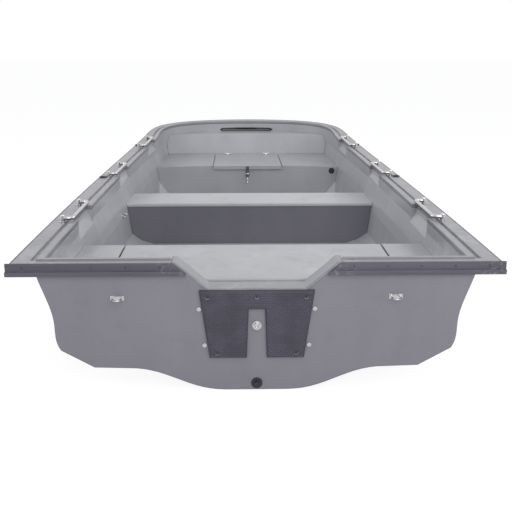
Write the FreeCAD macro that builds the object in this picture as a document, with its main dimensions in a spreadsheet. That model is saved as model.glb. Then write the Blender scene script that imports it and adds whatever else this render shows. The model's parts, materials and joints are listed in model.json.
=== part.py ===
"""Open square-bow utility dinghy for an outboard motor: hull, liner, seats, hatch and fittings.

Working frame, in millimetres: +X to starboard, +Y to the bow, +Z up, y = 0 at the aft face of the
stern rail and z = 0 under the keel. Every sub-part's Placement then moves it so that the origin lies
under the middle of the boat.
"""
import FreeCAD, Part
import Sketcher
import math
import os

V = FreeCAD.Vector
UP = V(0, 0, 1)

SIZES = [
    # overall
    ("hull_length", 3950, "stern rail to the bow's gunwale edge"),
    ("half_beam", 850, "centreline to the gunwale edge at the stern"),
    ("stern_height", 485, "keel to gunwale at the stern"),
    ("sheer_rise", 18, "even rise of the gunwale from stern to bow"),
    ("bow_lift", 82, "extra rise at the bow"),
    ("transom_rake", 0.054, "forward slope of the transom, downwards"),
    ("transom_setback", 6, "transom face behind the rail face, at the gunwale"),
    # skins
    ("hull_wall", 7, "outer moulding"),
    ("liner_gap", 2, "between hull and liner"),
    ("transom_skin", 10, "hull moulding at the transom"),
    ("board_thickness", 20, "wooden board in the transom"),
    ("board_half_width", 430, ""),
    ("board_bottom", 118, ""),
    ("fit_gap", 0.5, "moulding to liner"),
    # gunwale
    ("flange_thickness", 14, ""),
    ("rail_thickness", 6, ""),
    ("rail_height", 44, ""),
    ("bead_height", 16, ""),
    ("bead_proud", 15, "bead outside the rail's upper band"),
    ("groove_outer", 62, "gunwale edge to the groove"),
    ("groove_inner", 84, "gunwale edge to the ridge"),
    ("cockpit_inset", 110, "gunwale edge to the cockpit's wall"),
    ("groove_depth", 7, ""),
    ("ridge_rise", 5, "inner ridge above the flange"),
    ("stern_flange_depth", 60, "stern rail to the cockpit, above the ledge"),
    # motor notch
    ("notch_bottom", 390, ""),
    ("notch_half_bottom", 170, ""),
    ("notch_half_top", 280, ""),
    ("notch_rim", 10, ""),
    ("ledge_depth", 95, "stern rail to the splash gutter"),
    # inside
    ("sole_height", 110, ""),
    ("gutter_width", 60, ""),
    ("gutter_height", 330, ""),
    ("stern_seat_height", 380, ""),
    ("stern_seat_front", 670, ""),
    ("stern_lid_half_width", 543, ""),
    ("stern_lid_thickness", 25, ""),
    ("lid_gap", 5, "round a lid"),
    ("thwart_aft", 1758, ""),
    ("thwart_depth", 298, ""),
    ("thwart_height", 340, ""),
    ("thwart_top_thickness", 18, ""),
    ("bow_seat_aft", 2975, ""),
    ("bow_seat_height", 350, "at its sides"),
    ("riser_foot", 3600, ""),
    ("riser_slope", 80, "forward lean of the riser over its height"),
    ("foredeck_height", 492, "at its sides"),
    ("crown_rise", 12, "seat and foredeck, middle above sides"),
    ("crown_half_width", 640, ""),
    ("locker_wall", 18, ""),
    ("locker_half_width", 400, "bow locker"),
    ("locker_depth", 440, ""),
    ("locker_floor", 150, ""),
    ("locker_ceiling", 335, ""),
    ("knee_reach", 120, "corner knees at the bow seat, along the wall"),
    ("knee_width", 125, ""),
    ("knee_height", 145, ""),
    ("seat_edge", 6, "rounding of the thwart's and the seat lid's edges"),
    # hatch
    ("hatch_half_width", 237, ""),
    ("hatch_front", 3532, ""),
    ("hatch_thickness", 12, ""),
    ("hatch_lip_drop", 15, ""),
    ("hatch_lip_reach", 14, "lip's aft face behind the seat's aft face"),
    ("hatch_rabbet", 24, "ledge that the lid lies on"),
    ("hinge_setback", 11, "pin ahead of the lid's front edge"),
    ("hinge_rise", 5, "pin above the seat"),
    ("hinge_spacing", 147, "centreline to each hinge"),
    ("hinge_pin_radius", 2.5, ""),
    ("hinge_barrel_radius", 4.5, ""),
    ("hinge_length", 54, ""),
    ("hinge_leaf_reach", 26, ""),
    ("hinge_strap_reach", 38, ""),
    ("hinge_leaf_thickness", 2.5, ""),
    ("seam", 0.3, "between mouldings that touch"),
    # bow slot
    ("slot_half_width", 194, ""),
    ("slot_height", 20, ""),
    ("slot_depth", 26, ""),
    ("bow_wall", 84, "bow gunwale edge to the cockpit's bow wall"),
    # fittings
    ("handle_length", 340, "foot to foot"),
    ("handle_rod", 9, "radius"),
    ("handle_reach", 42, "feet to bar"),
    ("handle_inset", 50, "gunwale edge to the feet"),
    ("handle_height", 17, "bar above the gunwale"),
    ("handle_bend", 24, ""),
    ("handle_foot", 13, "radius"),
    ("pocket_length", 296, ""),
    ("pocket_edge", 84, "gunwale edge to the pocket"),
    ("handle_aft_at", 810, ""),
    ("handle_mid_at", 1910, ""),
    ("handle_fore_at", 2980, ""),
    ("rowlock_mid_at", 1720, ""),
    ("rowlock_fore_at", 2920, ""),
    ("rowlock_inset", 22, ""),
    ("rowlock_bore", 8.5, "radius"),
    ("rowlock_sleeve", 11, "radius"),
    ("rowlock_cap", 19, "radius"),
    ("rowlock_depth", 40, ""),
    ("socket_gap", 0.2, ""),
    ("pad_half_top", 202, ""),
    ("pad_half_bottom", 168, ""),
    ("pad_top", 385, ""),
    ("pad_bottom", 131, ""),
    ("pad_thickness", 14, ""),
    ("pad_bevel", 4, ""),
    ("pad_slot_half_top", 29, ""),
    ("pad_slot_half_bottom", 36, ""),
    ("pad_slot_top", 317, ""),
    ("pad_screw", 7, "radius of the heads"),
    ("eye_spacing", 487, "centreline to each transom eye"),
    ("eye_height", 358, ""),
    ("eye_loop", 15, "radius"),
    ("eye_rod", 3.5, "radius"),
    ("eye_reach", 34, "loop's end behind the transom"),
    ("plug_radius", 20, ""),
    ("plug_height", 27, ""),
    ("drain_height", 252, ""),
    ("drain_pipe", 12, "radius"),
    ("vent_side", 590, "centreline to the vent plug"),
    ("vent_drop", 27, ""),
    ("hook_at", 1590, ""),
    ("hook_height", 307, ""),
    ("bow_eye_height", 380, ""),
]

doc = FreeCAD.newDocument("dinghy")
sheet = doc.addObject("Spreadsheet::Sheet", "dims")
for row, (alias, number, note) in enumerate(SIZES, start=1):
    sheet.set("A%d" % row, alias)
    sheet.set("B%d" % row, str(number))
    sheet.set("C%d" % row, note)
    sheet.setAlias("B%d" % row, alias)
doc.recompute()


def dim(alias):
    """The number that the sheet holds under this alias."""
    return float(sheet.get(alias))


# ---------------------------------------------------------------- the boat's lines

BIG = 1200
RAIL_CORNER = 34
INNER_CORNER = 46
BOW_LIFT_POWER = 6
GUNWALE_TAPER = 0.167
HULL_SWELL = 0.06
HULL_TAPER = 0.21

# the hull's outline at each height: height, half width at the stern, length
KEEL_BODY = [(0, 90, 3000), (6, 172, 3110), (36, 265, 3240), (74, 362, 3350), (88, 450, 3420)]
BILGE = [(88, 450, 3420), (92, 580, 3480), (159, 695, 3640)]
TOPSIDES = [(159, 695, 3640), (272, 713, 3770), (346, 730, 3840), (433, 759, 3875), (560, 776, 3915),
            (660, 784, 3925)]
# the cockpit's outline above the sole: height above the sole, inset from its top outline
COCKPIT = [(0, 176), (20, 112), (58, 56), (120, 46), (190, 38), (240, 26), (320, 0), (600, 0)]
LINER_UNDERSIDE = 9


def sheer(y):
    """Height of the gunwale's top at y."""
    along = max(y, 0) / dim("hull_length")
    return dim("stern_height") + dim("sheer_rise") * along + dim("bow_lift") * along ** BOW_LIFT_POWER


def gunwale_law(along):
    return 1 - GUNWALE_TAPER * along ** 2


def hull_law(along):
    return 1 + HULL_SWELL * along - HULL_TAPER * along ** 3


def plan_points(half, length, law, corner_power):
    """Starboard outline from behind the stern to the middle of the bow, as (x, y)."""
    points = [(half * law(0), -80)]
    for along in (0.2, 0.45, 0.7, 0.86):
        corner = math.sqrt(1 - along ** corner_power)
        points.append((half * law(along) * corner, along * length))
    for degrees in (26, 43, 60, 76):
        turn = math.radians(degrees)
        along = math.sin(turn) ** (2 / corner_power)
        points.append((half * law(along) * math.cos(turn), along * length))
    return points + [(0, length)]


def plan_wire(z, half, length, law, corner_power=RAIL_CORNER):
    """Closed outline at height z: one smooth curve round the bow and a straight stern line."""
    starboard = plan_points(half, length, law, corner_power)
    ring = [V(x, y, z) for x, y in starboard] + [V(-x, y, z) for x, y in reversed(starboard[:-1])]
    curve = Part.BSplineCurve()
    curve.interpolate(ring)
    return Part.Wire([curve.toShape(), Part.LineSegment(ring[-1], ring[0]).toShape()])


def stack(levels, law, ruled=False, corner_power=RAIL_CORNER):
    """Solid through outlines given as (height, half width, length)."""
    outlines = [plan_wire(z, half, length, law, corner_power) for z, half, length in levels]
    return Part.makeLoft(outlines, True, ruled)


def keel_body(wall=0):
    """The V between the keel and the tunnels, moved in by wall."""
    return stack([(z + wall, half, length - wall) for z, half, length in KEEL_BODY], hull_law)


def bilge_body(wall=0):
    """The shoulders and bilges, moved in by wall."""
    low, middle, high = BILGE
    levels = [(low[0] + wall, low[1], low[2] - wall),
              (middle[0] + wall, middle[1] - 0.3 * wall, middle[2] - wall),
              (high[0] + 0.3 * wall, high[1] - wall, high[2] - wall)]
    return stack(levels, hull_law, True)


def topsides_body(wall=0):
    """The hull above the chine, moved in by wall."""
    levels = [(z, half - wall, length - wall) for z, half, length in TOPSIDES]
    low = levels[0]
    levels[0] = (low[0] + 0.3 * wall, low[1], low[2])
    return stack(levels, hull_law)


def hull_form(wall=0):
    """Everything inside the outer moulding, moved in by wall."""
    return keel_body(wall).fuse([bilge_body(wall), topsides_body(wall)])


def gunwale_prism(inset, low=-100, high=800, bow_inset=None, corner_power=RAIL_CORNER):
    """Upright solid inside the gunwale's outline moved inwards by inset."""
    bow_inset = inset if bow_inset is None else bow_inset
    wire = plan_wire(low, dim("half_beam") - inset, dim("hull_length") - bow_inset, gunwale_law,
                     corner_power)
    return Part.Face(wire).extrude(V(0, 0, high - low))


def cockpit_tub(extra=0):
    """The open space inside the liner's walls, from the sole up, smaller by extra all round."""
    half = dim("half_beam") - dim("cockpit_inset") - extra
    length = dim("hull_length") - dim("bow_wall") - extra
    sole = dim("sole_height")
    levels = [(sole + z, half - inset, length - inset) for z, inset in COCKPIT]
    return stack(levels, gunwale_law, True, INNER_CORNER)


def under_sheer(offset):
    """Everything below the gunwale's top line moved up by offset."""
    length = dim("hull_length")
    stations = [-200] + [length * share for share in (0.2, 0.5, 0.7, 0.82, 0.92, 1, 1.06)]
    curve = Part.BSplineCurve()
    curve.interpolate([V(-BIG, y, sheer(y) + offset) for y in stations])
    start = V(-BIG, stations[0], -400)
    end = V(-BIG, stations[-1], -400)
    wire = Part.Wire([
        curve.toShape(),
        Part.LineSegment(V(-BIG, stations[-1], sheer(stations[-1]) + offset), end).toShape(),
        Part.LineSegment(end, start).toShape(),
        Part.LineSegment(start, V(-BIG, stations[0], sheer(stations[0]) + offset)).toShape(),
    ])
    return Part.Face(wire).extrude(V(2 * BIG, 0, 0))


def transom_y(z, offset=0):
    """Where the transom's face lies at height z."""
    return dim("transom_setback") + dim("transom_rake") * (dim("stern_height") - z) + offset


def ahead_of_transom(offset):
    """Everything ahead of the transom's face moved forward by offset."""
    low, high, far = -400, 900, 4400
    corners = [V(-BIG, transom_y(low, offset), low), V(-BIG, far, low), V(-BIG, far, high),
               V(-BIG, transom_y(high, offset), high)]
    return Part.Face(Part.makePolygon(corners + corners[:1])).extrude(V(2 * BIG, 0, 0))


def slab(y0, y1, z0, z1, half=BIG):
    return Part.makeBox(2 * half, y1 - y0, z1 - z0, V(-half, y0, z0))


def notch(grow, y0, y1):
    """The motor notch's opening, larger by grow all round."""
    slope = (dim("notch_half_top") - dim("notch_half_bottom")) / (dim("stern_height") - dim("notch_bottom"))
    lean = grow * (math.hypot(1, slope) - slope)
    low = dim("notch_bottom") - grow
    high = dim("stern_height") + 60
    half_low = dim("notch_half_bottom") + lean
    half_high = half_low + slope * (high - low)
    corners = [V(-half_low, y0, low), V(half_low, y0, low), V(half_high, y0, high),
               V(-half_high, y0, high)]
    return Part.Face(Part.makePolygon(corners + corners[:1])).extrude(V(0, y1 - y0, 0))


def side_profile(corners):
    """Cross-boat block with this outline of (y, z) points."""
    points = [V(-BIG, y, z) for y, z in corners]
    return Part.Face(Part.makePolygon(points + points[:1])).extrude(V(2 * BIG, 0, 0))


def gunwale_place(side, y, inset, lift):
    """Placement on the gunwale: the local y runs along it and the local x points outboard."""
    length = dim("hull_length")

    def edge(at):
        along = at / length
        corner = math.sqrt(1 - along ** RAIL_CORNER)
        return (dim("half_beam") - inset) * gunwale_law(along) * corner

    step = 20
    yaw = math.degrees(math.atan2(edge(y + step) - edge(y - step), 2 * step))
    pitch = math.degrees(math.atan2(sheer(y + step) - sheer(y - step), 2 * step))
    turn = FreeCAD.Rotation(UP, -side * yaw).multiply(FreeCAD.Rotation(V(1, 0, 0), pitch))
    if side < 0:
        turn = turn.multiply(FreeCAD.Rotation(UP, 180))
    return FreeCAD.Placement(V(side * edge(y), y, sheer(y) + lift), turn)


def nearest_on(shape, point, direction):
    """Where a ray from this point first meets the shape."""
    ray = Part.LineSegment(point, point + direction * 3000).toShape()
    hits = shape.section(ray).Vertexes
    return min((hit.Point for hit in hits), key=lambda hit: hit.distanceToPoint(point))


def cockpit_wall_x(y, z):
    """Half width of the cockpit at a place on its wall."""
    return nearest_on(cockpit_tub(), V(0, y, z), V(1, 0, 0)).x


def wall_lean(y, z):
    """How far the cockpit's wall leans outwards there, in degrees."""
    return math.degrees(math.atan2(cockpit_wall_x(y, z + 15) - cockpit_wall_x(y, z - 15), 30))


def hull_bow_y(z):
    """Where the hull's bow face lies at this height."""
    return nearest_on(topsides_body(), V(0, 1000, z), V(0, 1, 0)).y


# ---------------------------------------------------------------- building blocks of the document

SIDES = [("port", -1), ("starboard", 1)]
parts = []
MIDDLE = "((dims.hull_length + dims.bead_proud + dims.transom_setback" \
         " + dims.transom_rake * (dims.stern_height - dims.eye_height) - dims.eye_reach) / 2)"


def publish(item, name, at=None):
    """Makes an object a sub-part: its label names its file and its Placement sets the origin."""
    bound = {path.strip("."): expression for path, expression in item.ExpressionEngine}
    there = at or bound.get("Placement.Base.y") or "0"
    item.Label = name
    item.setExpression("Placement.Base.y", "(%s) - %s" % (there, MIDDLE))
    parts.append(item)
    return item


def modelled(name, shape):
    """A sub-part whose shape comes from the boat's lines."""
    item = doc.addObject("Part::Feature", name)
    item.Shape = shape
    return publish(item, name)


def helper(name, shape):
    item = doc.addObject("Part::Feature", name)
    item.Shape = shape
    return item


def primitive(kind, name, sizes, place=None, turn=None):
    """A Part primitive with its sizes and place bound to the sheet."""
    item = doc.addObject(kind, name)
    if turn is not None:
        item.Placement = FreeCAD.Placement(V(0, 0, 0), turn)
    for key, expression in sizes.items():
        item.setExpression(key, expression)
    for key, expression in zip("xyz", place or ()):
        item.setExpression("Placement.Base." + key, str(expression))
    return item


def box(name, x, y, z):
    """A Part::Box from (low, size) pairs along each axis, given as expressions."""
    sizes = {"Length": x[1], "Width": y[1], "Height": z[1]}
    return primitive("Part::Box", name, sizes, (x[0], y[0], z[0]))


def boolean(kind, name, base, tool):
    item = doc.addObject(kind, name)
    item.Base = base
    item.Tool = tool
    return item


def common(name, base, tool):
    return boolean("Part::Common", name, base, tool)


def cut(name, base, *tools):
    for number, tool in enumerate(tools):
        last = number == len(tools) - 1
        base = boolean("Part::Cut", name if last else "%s_cut%d" % (name, number), base, tool)
    return base


def fuse(name, *shapes):
    item = doc.addObject("Part::MultiFuse", name)
    item.Shapes = list(shapes)
    return item


# ---------------------------------------------------------------- hull, liner and rails

seam = dim("seam")
liner_back = dim("hull_wall") + dim("liner_gap")
board_front = dim("transom_skin") + dim("board_thickness") + 1
sole = dim("sole_height")

outside = hull_form().common(ahead_of_transom(0)).common(under_sheer(-dim("flange_thickness") - seam))
inside = hull_form(dim("hull_wall")).common(ahead_of_transom(dim("transom_skin")))
hull_shape = outside.cut(inside).cut(notch(dim("notch_rim") + seam, -100, 100))
modelled("hull", hull_shape)

block_low = sole - LINER_UNDERSIDE
chine_z, chine_half, chine_length = BILGE[-1]
block_chine = (chine_z + 0.3 * liner_back, chine_half - liner_back, chine_length - liner_back)
block = stack([(block_low, chine_half - 129, 3430), block_chine], hull_law, True)
block = block.fuse(topsides_body(liner_back)).common(under_sheer(-dim("flange_thickness") - seam))
block = block.common(ahead_of_transom(board_front))


def knee(side):
    """A small corner brace between the sole, the cockpit's wall and the bow seat's face."""
    y = dim("bow_seat_aft") - seam
    half = cockpit_wall_x(dim("bow_seat_aft") - 40, sole + dim("knee_height"))
    foot = V(side * (half + 60), y, sole - 5)
    top = V(side * half, y, sole + dim("knee_height"))
    inner = V(side * (half - dim("knee_width")), y, sole - 5)
    aft = V(side * half, y - dim("knee_reach"), sole - 5)
    faces = [Part.Face(Part.makePolygon([a, b, c, a])) for a, b, c in
             ((foot, top, inner), (foot, aft, top), (top, aft, inner), (foot, inner, aft))]
    return Part.Solid(Part.Shell(faces))


ledge = dim("ledge_depth")
bow_face = dim("hull_length") - dim("bow_wall")
slot_floor = dim("foredeck_height") + dim("crown_rise") + 1
slot = Part.makeBox(2 * dim("slot_half_width"), dim("slot_depth") + 60, dim("slot_height"),
                    V(-dim("slot_half_width"), bow_face - 60, slot_floor))
cockpit = cockpit_tub().common(slab(ledge - 10, 4400, sole, 900)).cut([knee(side) for _, side in SIDES])
liner_shape = block.common(slab(ledge + seam, 4400, 0, 900)).cut(cockpit).cut(slot)

stern_space = cockpit_tub().common(slab(dim("stern_flange_depth"), ledge + 10, dim("notch_bottom"), 900))
ledge_shape = block.common(slab(0, ledge, 0, 900)).cut(stern_space)
ledge_shape = ledge_shape.cut(notch(dim("notch_rim") + seam, -100, 200))
modelled("transom_liner", ledge_shape)

HANDLES = [("aft", "handle_aft_at"), ("mid", "handle_mid_at"), ("fore", "handle_fore_at")]
ROWLOCKS = [("mid", "rowlock_mid_at"), ("fore", "rowlock_fore_at")]


def pocket(side, at):
    """Hand space behind a grab handle: through the gunwale's inner edge and into the wall."""
    edge = dim("pocket_edge")
    half = dim("pocket_length") / 2
    outline = [(edge, 40), (edge, -8), (edge + 6, -32), (edge + 34, -82), (edge + 70, -82),
               (edge + 70, 40)]
    points = [V(-inset, -half, z) for inset, z in outline]
    shape = Part.Face(Part.makePolygon(points + points[:1])).extrude(V(0, 2 * half, 0))
    shape.Placement = gunwale_place(side, at, 0, 0)
    return shape


pockets = [pocket(side, dim(station)) for _, station in HANDLES for _, side in SIDES]
for hollow in pockets:
    liner_shape = liner_shape.cut(hollow)
modelled("cockpit_liner", liner_shape)

flange_low = under_sheer(-dim("flange_thickness"))
deck_shape = gunwale_prism(dim("rail_thickness")).common(under_sheer(0))
deck_shape = deck_shape.common(slab(dim("transom_setback"), 4400, 0, 1000))
hole = gunwale_prism(dim("cockpit_inset"), bow_inset=dim("bow_wall"), corner_power=INNER_CORNER)
hole = hole.common(slab(dim("stern_flange_depth"), 4400, 0, 1000))
deck_shape = deck_shape.cut(flange_low).cut(hole)
outer_line = gunwale_prism(dim("groove_outer"), 300, corner_power=INNER_CORNER)
inner_line = gunwale_prism(dim("groove_inner"), 300, bow_inset=dim("groove_inner") - 20,
                           corner_power=INNER_CORNER)
groove = outer_line.cut(inner_line).cut(under_sheer(-dim("groove_depth"))).cut(slab(-100, 42, 0, 1000))
ridge = inner_line.common(under_sheer(dim("ridge_rise"))).cut(under_sheer(-1)).cut(hole)
ridge = ridge.common(slab(42, 4400, 0, 1000))
deck_shape = deck_shape.fuse(ridge)
deck_shape = deck_shape.cut(groove).cut(notch(dim("notch_rim"), -100, dim("ledge_depth")))
for hollow in pockets:
    deck_shape = deck_shape.cut(hollow)
for _, station in ROWLOCKS:
    for _, side in SIDES:
        bore = Part.makeCylinder(dim("rowlock_sleeve") + dim("socket_gap"), 60, V(0, 0, -50), UP)
        bore.Placement = gunwale_place(side, dim(station), dim("rowlock_inset"), 0)
        deck_shape = deck_shape.cut(bore)
modelled("gunwale_deck", deck_shape)

rim = notch(dim("notch_rim"), dim("transom_setback"), dim("ledge_depth"))
rim = rim.cut(notch(0, -100, 200)).common(under_sheer(0)).common(ahead_of_transom(0))
modelled("motor_notch_rim", rim)

band = under_sheer(0).cut(under_sheer(-dim("rail_height")))
bead = under_sheer(-dim("rail_height") + dim("bead_height")).cut(under_sheer(-dim("rail_height")))
rail = band.common(gunwale_prism(0)).fuse(bead.common(gunwale_prism(-dim("bead_proud"))))
rail = rail.cut(gunwale_prism(dim("rail_thickness") - seam))
stern_rail = band.common(slab(0, dim("transom_setback") - seam, 0, 1000))
stern_rail = stern_rail.fuse(bead.common(slab(-10, 0, 0, 1000))).common(gunwale_prism(-dim("bead_proud")))
stern_rail = stern_rail.cut(notch(dim("notch_rim"), -100, 200))
RAIL_JOINT = 3400
RAIL_GAP = 2
rail_start = dim("transom_setback")
for label, side in SIDES:
    half_space = Part.makeBox(BIG, 5000, 1000, V(0 if side > 0 else -BIG, -200, 0))
    modelled("rub_rail_" + label, rail.common(half_space).common(slab(rail_start, RAIL_JOINT, 0, 1000)))
    modelled("rub_rail_stern_" + label, stern_rail.common(half_space))
modelled("rub_rail_bow", rail.common(slab(RAIL_JOINT + RAIL_GAP, 4400, 0, 1000)))

# ---------------------------------------------------------------- seats


def rounded(name, base, chosen):
    """Rounds the edges of a piece whose middle points are chosen."""
    doc.recompute()
    item = doc.addObject("Part::Fillet", name)
    item.Base = base
    radius = dim("seat_edge")
    item.Edges = [(number, radius, radius) for number, edge in enumerate(base.Shape.Edges, start=1)
                  if chosen(edge.CenterOfMass)]
    return item



tub_fit = dim("fit_gap")
blank = helper("cockpit_blank", cockpit_tub(tub_fit))


def region(name, y0, y1, z0, z1):
    """A cross-boat block between two stations and two heights, given as expressions."""
    return box(name, ("-%d" % BIG, "%d" % (2 * BIG)), (y0, "%s - (%s)" % (y1, y0)),
               (z0, "%s - (%s)" % (z1, z0)))


seat = common("stern_seat_block", blank,
              region("stern_seat_region", "dims.ledge_depth + dims.fit_gap", "dims.stern_seat_front",
                     "dims.sole_height", "dims.stern_seat_height"))
gutter = region("gutter_space", "dims.ledge_depth - 1", "dims.ledge_depth + dims.gutter_width",
                "dims.gutter_height", "dims.stern_seat_height + 1")
lid_seat = box("stern_lid_recess",
               ("-dims.stern_lid_half_width - dims.lid_gap",
                "2 * (dims.stern_lid_half_width + dims.lid_gap)"),
               ("dims.ledge_depth", "dims.stern_seat_front"),
               ("dims.stern_seat_height - dims.stern_lid_thickness", "100"))
store = box("stern_locker", ("-dims.stern_lid_half_width + 40", "2 * (dims.stern_lid_half_width - 40)"),
            ("dims.ledge_depth + dims.gutter_width + 35",
             "dims.stern_seat_front - dims.ledge_depth - dims.gutter_width - 35 - dims.locker_wall"),
            ("dims.sole_height + dims.locker_wall", "400"))
publish(cut("stern_seat_base", seat, gutter, lid_seat, store), "stern_seat_base")
lid_top = dim("stern_seat_height")
lid_blank = box("stern_lid_blank", ("-dims.stern_lid_half_width", "2 * dims.stern_lid_half_width"),
                ("dims.ledge_depth + dims.gutter_width + 4",
                 "dims.stern_seat_front - dims.ledge_depth - dims.gutter_width - 2"),
                ("dims.stern_seat_height - dims.stern_lid_thickness", "dims.stern_lid_thickness"))
publish(rounded("stern_seat_lid", lid_blank, lambda point: point.z > lid_top - 1), "stern_seat_lid")
thwart_joint = "dims.thwart_height - dims.thwart_top_thickness"
publish(common("thwart_box", blank, region("thwart_box_region", "dims.thwart_aft",
                                           "dims.thwart_aft + dims.thwart_depth", "dims.sole_height",
                                           thwart_joint)), "thwart_box")
thwart_blank = common("thwart_top_blank", blank,
                      region("thwart_top_region", "dims.thwart_aft - 4",
                             "dims.thwart_aft + dims.thwart_depth + 4",
                             thwart_joint, "dims.thwart_height"))
thwart_z = dim("thwart_height")
publish(rounded("thwart_top", thwart_blank, lambda point: point.z > thwart_z - 1 and abs(point.x) < 1),
        "thwart_top")



def crown(name, height, lowered="0"):
    """A wide cylinder along the boat, whose top is a seat's crowned surface, lowered by this much."""
    radius = "(dims.crown_half_width^2 / (2 * dims.crown_rise) + dims.crown_rise / 2)"
    centre = "dims.%s + dims.crown_rise - (%s) - %s" % (height, lowered, radius)
    sizes = {"Radius": radius, "Height": "5000"}
    return primitive("Part::Cylinder", name, sizes, ("0", "0", centre), FreeCAD.Rotation(V(1, 0, 0), -90))


bow_blank = helper("bow_blank", cockpit_tub(tub_fit).common(block).common(slab(2900, 4400, 0, 900)))
seat_outline = common("bow_seat_outline", bow_blank,
                      region("bow_seat_region", "dims.bow_seat_aft", "dims.riser_foot - dims.seam",
                             "dims.sole_height", "dims.bow_seat_height + 50"))
seat_block = common("bow_seat_block", seat_outline, crown("bow_seat_top", "bow_seat_height"))
locker_aft = "dims.bow_seat_aft + dims.locker_wall"
locker = box("bow_locker", ("-dims.locker_half_width", "2 * dims.locker_half_width"),
             (locker_aft, "dims.locker_depth"),
             ("dims.locker_floor", "dims.locker_ceiling - dims.locker_floor"))
shaft_half = "(dims.hatch_half_width - dims.hatch_rabbet)"
shaft = box("locker_mouth", ("-" + shaft_half, "2 * " + shaft_half),
            (locker_aft, "dims.hatch_front - dims.hatch_rabbet - (%s)" % locker_aft),
            ("dims.locker_ceiling - 40", "100"))
recess_half = "(dims.hatch_half_width + dims.lid_gap)"
recess_box = box("hatch_recess_box", ("-" + recess_half, "2 * " + recess_half),
                 ("dims.bow_seat_aft - 5", "dims.hatch_front + dims.lid_gap - dims.bow_seat_aft + 5"),
                 ("dims.bow_seat_height - 40", "100"))
recess = cut("hatch_recess", recess_box,
             crown("lid_bed", "bow_seat_height", "dims.hatch_thickness + dims.seam"))
publish(cut("bow_seat", seat_block, locker, shaft, recess), "bow_seat")

riser_foot = dim("riser_foot")
riser_low = dim("bow_seat_height") + dim("crown_rise") + 2
deck_side = dim("foredeck_height")
lean = dim("riser_slope") / (deck_side - riser_low)
riser = helper("foredeck_profile", side_profile([
    (riser_foot, sole), (riser_foot, riser_low),
    (riser_foot + lean * (deck_side + 30 - riser_low), deck_side + 30),
    (4400, deck_side + 30), (4400, sole)]))
publish(common("foredeck", common("foredeck_block", bow_blank, riser),
               crown("foredeck_top", "foredeck_height")),
        "foredeck")

# ---------------------------------------------------------------- hatch


lip_aft = "(dims.bow_seat_aft - dims.hatch_lip_reach)"
lid_box = box("hatch_lid_outline", ("-dims.hatch_half_width", "2 * dims.hatch_half_width"),
              (lip_aft, "dims.hatch_front - " + lip_aft), ("dims.bow_seat_height - 40", "100"))
plate = cut("hatch_plate", common("hatch_slab", lid_box, crown("hatch_top", "bow_seat_height")),
            crown("hatch_under", "bow_seat_height", "dims.hatch_thickness"))
lip_box = box("hatch_lip_outline", ("-dims.hatch_half_width", "2 * dims.hatch_half_width"),
              (lip_aft, "dims.hatch_thickness"),
              ("dims.bow_seat_height - dims.hatch_lip_drop", "dims.hatch_lip_drop + dims.crown_rise"))
lip = common("hatch_lip", lip_box, crown("hatch_lip_top", "bow_seat_height", "1"))
publish(fuse("hatch_lid", plate, lip), "hatch_lid")

ALONG_X = FreeCAD.Rotation(V(0, 1, 0), 90)
pin_y = "dims.hatch_front + dims.hinge_setback"
crown_drop = "(dims.crown_rise * (1 - dims.hinge_spacing^2 / dims.crown_half_width^2))"
pin_z = "dims.bow_seat_height + %s + dims.hinge_rise" % crown_drop
leaf_z = "dims.bow_seat_height + %s + dims.seam" % crown_drop
for label, side in SIDES:
    middle_x = "%d * dims.hinge_spacing" % side
    pin = primitive("Part::Cylinder", "hinge_pin_" + label,
                    {"Radius": "dims.hinge_pin_radius", "Height": "dims.hinge_length"},
                    (middle_x + " - dims.hinge_length / 2", pin_y, pin_z), ALONG_X)
    ears = []
    for end in (-1, 1):
        centre = "%s + %d * dims.hinge_length / 3" % (middle_x, end)
        ears.append(primitive("Part::Cylinder", "hinge_ear_%s%d" % (label, end),
                              {"Radius": "dims.hinge_barrel_radius", "Height": "dims.hinge_length / 3"},
                              (centre + " - dims.hinge_length / 6", pin_y, pin_z), ALONG_X))
        ears.append(box("hinge_leaf_%s%d" % (label, end),
                        (centre + " - dims.hinge_length / 6", "dims.hinge_length / 3"),
                        (pin_y, "dims.hinge_leaf_reach"), (leaf_z, "dims.hinge_leaf_thickness")))
    publish(fuse("hatch_hinge_" + label, pin, *ears), "hatch_hinge_" + label)
    knuckle = primitive("Part::Cylinder", "hinge_knuckle_" + label,
                        {"Radius": "dims.hinge_barrel_radius", "Height": "dims.hinge_length / 3 - 1"},
                        (middle_x + " - dims.hinge_length / 6 + 0.5", pin_y, pin_z), ALONG_X)
    strap = box("hinge_strap_" + label, (middle_x + " - dims.hinge_length / 6 + 0.5",
                                         "dims.hinge_length / 3 - 1"),
                (pin_y + " - dims.hinge_strap_reach", "dims.hinge_strap_reach"),
                (leaf_z, "dims.hinge_leaf_thickness"))
    hole = primitive("Part::Cylinder", "hinge_bore_" + label,
                     {"Radius": "dims.hinge_pin_radius + 0.05", "Height": "dims.hinge_length"},
                     (middle_x + " - dims.hinge_length / 2", pin_y, pin_z), ALONG_X)
    publish(cut("hatch_strap_" + label, fuse("hinge_wing_" + label, knuckle, strap), hole),
            "hatch_strap_" + label)

hasp_plate = box("hasp_strap", ("-11", "22"), (lip_aft + " - 3", "3"),
                 ("dims.bow_seat_height - 62", "70"))
hasp_knob = primitive("Part::Cylinder", "hasp_knob", {"Radius": "13", "Height": "12"},
                      ("0", lip_aft + " - 3", "dims.bow_seat_height - 55"),
                      FreeCAD.Rotation(V(1, 0, 0), 90))
publish(fuse("hatch_hasp", hasp_plate, hasp_knob), "hatch_hasp")

# ---------------------------------------------------------------- transom fittings

RAKE = math.degrees(math.atan(dim("transom_rake")))
LEAN = FreeCAD.Rotation(V(1, 0, 0), RAKE)
TO_STERN = FreeCAD.Rotation(V(1, 0, 0), 90)


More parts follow.
